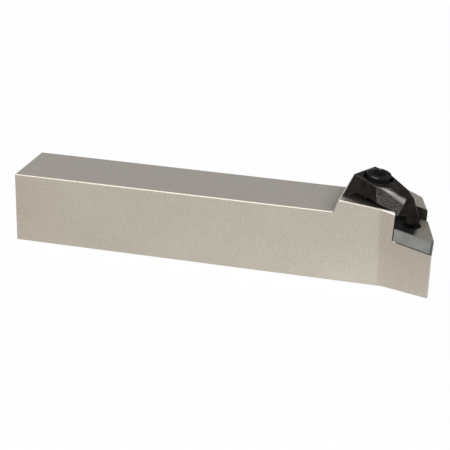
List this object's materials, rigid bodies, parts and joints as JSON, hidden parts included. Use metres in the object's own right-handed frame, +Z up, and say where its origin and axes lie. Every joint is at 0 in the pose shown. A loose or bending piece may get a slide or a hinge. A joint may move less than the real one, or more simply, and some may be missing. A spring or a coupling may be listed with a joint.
{
  "type": "turning tool holder",
  "caption": "Left-hand external turning tool holder with square shank, angled head, carbide seat, hooked top clamp and socket head clamp screw.",
  "frame": {"origin": "middle of the shank's bottom face, half way along the straight shank and across its width", "axes": "+X along the shank towards the cutting end, +Z up out of the insert seat side, +Y towards the straight long side, so the cutting nose points to +X and -Y"},
  "size_m": [0.1502, 0.0304, 0.0383],
  "materials": {
    "holder": "satin nickel plate",
    "seat": "ground carbide",
    "clamp": "black oxide, semi-gloss",
    "screws": "black oxide",
    "spring": "plain spring steel"
  },
  "bodies": {
    "holder": {"holder_body": "holder", "seat": "seat", "seat_screw": "screws", "lift_spring": "spring"},
    "clamp": {"clamp": "clamp"},
    "screw": {"clamp_screw": "screws"}
  },
  "joints": [
    {"name": "clamp_lift", "type": "slide", "parent": "holder", "child": "clamp", "axis": [0.1338, -0.0742, 0.9882], "range_m": [0, 0.0048], "deforming": ["lift_spring"]},
    {"name": "screw_turn", "type": "hinge", "parent": "clamp", "child": "screw", "pos_m": [0.07101, -0.00471, 0.03629], "axis": [0.1338, -0.0742, 0.9882], "range_deg": [0, 2160]}
  ],
  "couplings": [
    {"joint": "screw_turn", "follows": "clamp_lift", "rad_per_m": 7854}
  ]
}
